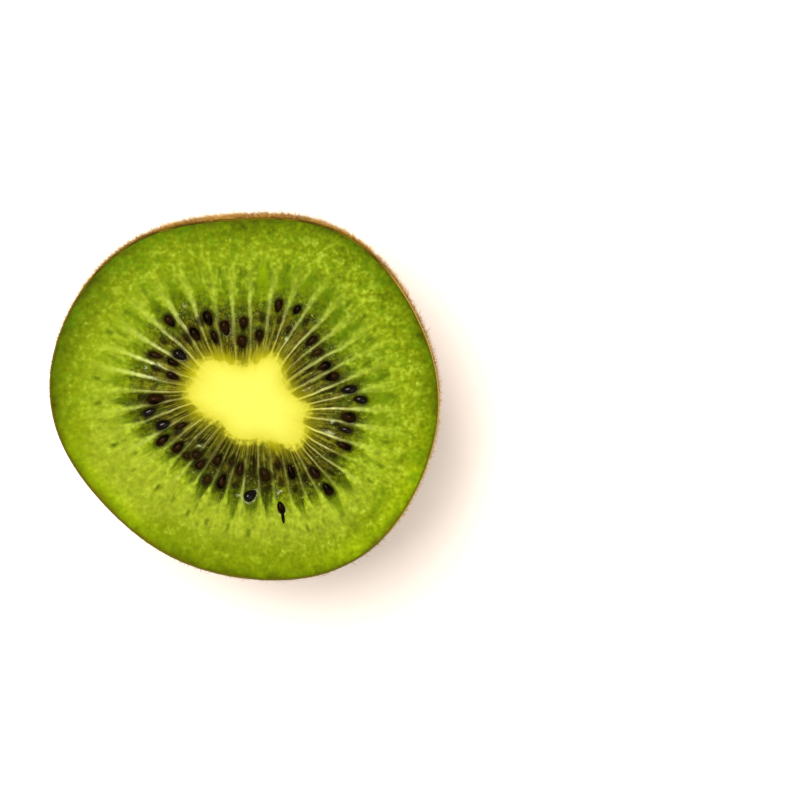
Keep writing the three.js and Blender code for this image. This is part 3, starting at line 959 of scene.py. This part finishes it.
def hairs(name, roots, heads, bends, lengths, radii, sections):
    """Three-sided hairs that leave their roots along their heads, bend, and taper to a point."""
    no_hairs_way = (0.31, 0.47, 0.83)
    side = np.cross(heads, no_hairs_way)
    side /= np.linalg.norm(side, axis=1)[:, None]
    other = np.cross(heads, side)
    points = []
    for i in range(sections):
        along = i / sections
        middle = roots + heads * (lengths * along)[:, None] + bends * (lengths * along**2)[:, None]
        for k in range(3):
            spoke = side * math.cos(TAU * k / 3) + other * math.sin(TAU * k / 3)
            points.append(middle + spoke * (radii * (1 - 0.5 * along))[:, None])
    points.append(roots + (heads + bends) * lengths[:, None])
    points = np.stack(points, 1)
    points[:, :, 2] = np.maximum(points[:, :, 2], 0.01 * MM)
    faces = [(2, 1, 0)]
    for first in range(0, 3 * (sections - 1), 3):
        for k in range(3):
            a, b = first + k, first + (k + 1) % 3
            faces.append((a, b, b + 3, a + 3))
    last = 3 * (sections - 1)
    faces += [(last + k, last + (k + 1) % 3, last + 3) for k in range(3)]
    mesh = joined(name, points, faces)
    measure(mesh, "along", np.tile([*np.repeat(np.arange(sections) / sections, 3), 1], len(roots)))
    return mesh


def make_fuzz(name, seed, count, length, thickness, lean, finish, sections=2, lowest=1):
    """Hairs on the skin, down to the lowest station. lean is their usual rise off it, in degrees."""
    draw = np.random.default_rng(seed)
    angle, station = scattered(draw, count, lowest)
    roots, normal, down = wall_frame(angle, station)
    along = np.cross(normal, down)
    comb = draw.normal(0.6, 1.1, count)[:, None]
    flat = down * np.cos(comb) + along * np.sin(comb)
    rise = np.radians(draw.normal(lean, 14, count).clip(8, 85))[:, None]
    heads = normal * np.sin(rise) + flat * np.cos(rise)
    bends = (flat * 0.35 - normal * 0.25) * draw.uniform(0, 1.2, count)[:, None]
    lengths = length * draw.lognormal(0, 0.3, count)
    lengths *= 1 - 0.5 * np.exp(-(((np.degrees(angle) - WORN_SIDE) / WORN_SPREAD) ** 2))
    lengths = np.minimum(lengths, HAIR_REACH / np.sin(rise[:, 0]))
    above_face = np.maximum((heads + bends)[:, 2], 0.01)
    lengths = np.minimum(lengths, (DEPTH + TRIM_HEIGHT - roots[:, 2]) / above_face)
    radii = thickness / 2 * draw.uniform(0.7, 1.3, count)
    mesh = hairs(name, roots - normal * HAIR_ROOT, heads, bends, lengths, radii, sections)
    object_of(name, mesh, finish)


# ---- The scar of the stalk ----
# Share of its radius, and of its height above the skin.
SCAR_PROFILE = [
    (0, 0.35), (0.25, 0.3), (0.5, 0.42), (0.7, 0.7), (0.85, 1.0), (0.95, 0.8), (1.0, 0.2), (1.05, -1.2),
    (0, -1.4),
]
SCAR_STEPS = 48
RINGS_PER_ROW = 3


def make_scar():
    """The woody ring where the stalk sat, with a hollow in its middle."""
    here, normal, down = (rows[0] for rows in wall_frame(np.array([SCAR_TURN]), np.array([SCAR_STATION])))
    along = np.cross(normal, down)
    rows = np.arange(len(SCAR_PROFILE))
    outs, rises = np.array(SCAR_PROFILE).T

    def shape(angle, row):
        out, rise = np.interp(row, rows, outs), np.interp(row, rows, rises)
        reach = SCAR_RADIUS * out * (1 + 0.05 * np.sin(3 * angle + 1) + 0.03 * np.sin(7 * angle))
        lift = SCAR_HEIGHT * (rise + 0.12 * np.sin(11 * angle) * out)
        across = along * (reach * np.cos(angle))[:, None] + down * (reach * np.sin(angle))[:, None]
        return here + across + normal * lift[:, None]

    stations = [i / RINGS_PER_ROW for i in range(RINGS_PER_ROW * (len(SCAR_PROFILE) - 1) + 1)]
    mesh = spun("stalk_scar", stations, SCAR_STEPS, shape)
    object_of("stalk_scar", mesh, scar_finish())


make_flesh()
make_skin()
make_seeds()
short_hair = hair_finish("golden_fuzz", tone(96, 52, 8), tone(170, 112, 32), tone(240, 192, 100))
long_hair = hair_finish("pale_long_hairs", tone(124, 78, 24), tone(200, 152, 78), tone(248, 218, 156))
rim_hair = hair_finish("rim_fuzz", tone(112, 76, 8), tone(206, 158, 50), tone(253, 230, 150))
make_fuzz("fuzz_upper", 11, HAIRS, 0.85 * MM, 0.07 * MM, 42, short_hair)
make_fuzz("fuzz_under", 12, HAIRS, 0.55 * MM, 0.085 * MM, 25, short_hair)
make_fuzz("fuzz_long", 13, LONG_HAIRS, 1.5 * MM, 0.06 * MM, 50, long_hair, 4)
make_fuzz("fuzz_rim", 14, RIM_HAIRS, 0.85 * MM, 0.055 * MM, 50, rim_hair, lowest=0.1)
make_scar()


# ---- Floor, light and camera ----
IMAGE_SIZE = 800
PIXELS_PER_METRE = 7117.7  # at the cut face
FACE_PIXEL = (248.36, 396.17)  # where the middle of the face shows, from the picture's top left
CAMERA_DISTANCE = 0.5
CAMERA_LEAN = (1.5, 8)  # degrees off square to the face, towards the picture's right and top


def make_floor():
    bm = bmesh.new()
    bmesh.ops.create_grid(bm, x_segments=4, y_segments=4, size=3)
    mesh = bpy.data.meshes.new("floor")
    bm.to_mesh(mesh)
    bm.free()
    fin = Finish("white_floor")
    colour = fin.mix(fin.noise(50 * MM), (0.99, 0.88, 0.77, 1), (1.0, 0.89, 0.79, 1))
    mesh.materials.append(fin.surface(Base_Color=colour, Roughness=0.7, Specular_IOR_Level=0.1))
    floor = bpy.data.objects.new("floor", mesh)
    bpy.context.scene.collection.objects.link(floor)


def make_lamp(name, place, power, size):
    data = bpy.data.lights.new(name, "AREA")
    data.energy, data.size = power, size
    lamp = bpy.data.objects.new(name, data)
    lamp.location = place
    towards_face = Vector((*FACE_CENTRE, DEPTH)) - Vector(place)
    lamp.rotation_euler = towards_face.to_track_quat("-Z", "Y").to_euler()
    bpy.context.scene.collection.objects.link(lamp)


def make_world(strength):
    world = bpy.data.worlds.new("studio")
    world.use_nodes = True
    background = world.node_tree.nodes["Background"]
    background.inputs["Color"].default_value = (1.0, 0.99, 0.97, 1)
    background.inputs["Strength"].default_value = strength
    bpy.context.scene.world = world
    bpy.context.scene.view_settings.view_transform = "Standard"


def make_camera():
    data = bpy.data.cameras.new("camera")
    data.sensor_width = 36
    data.lens = data.sensor_width * CAMERA_DISTANCE * PIXELS_PER_METRE / IMAGE_SIZE
    data.clip_start, data.clip_end = 0.01, 20
    face, up = Vector((*FACE_CENTRE, DEPTH)), Vector((0, 1, 0))
    lean_right, lean_up = (math.tan(math.radians(lean)) for lean in CAMERA_LEAN)
    towards = Vector((lean_right, lean_up, 1)).normalized()
    right = up.cross(towards).normalized()
    across, above = (pixel - IMAGE_SIZE / 2 for pixel in FACE_PIXEL)
    aim = face + (towards.cross(right) * above - right * across) / PIXELS_PER_METRE
    place = face + towards * CAMERA_DISTANCE
    back = (place - aim).normalized()
    side = up.cross(back).normalized()
    top = back.cross(side)
    camera = bpy.data.objects.new("camera", data)
    camera.matrix_world = Matrix.Translation(place) @ Matrix((side, top, back)).transposed().to_4x4()
    bpy.context.scene.collection.objects.link(camera)
    bpy.context.scene.camera = camera


make_floor()
make_world(strength=0.62)
make_lamp("key", (-0.2, 0.3, 0.9), power=11.0, size=0.45)
make_lamp("fill", (0.4, -0.3, 0.8), power=1.6, size=0.6)
make_camera()
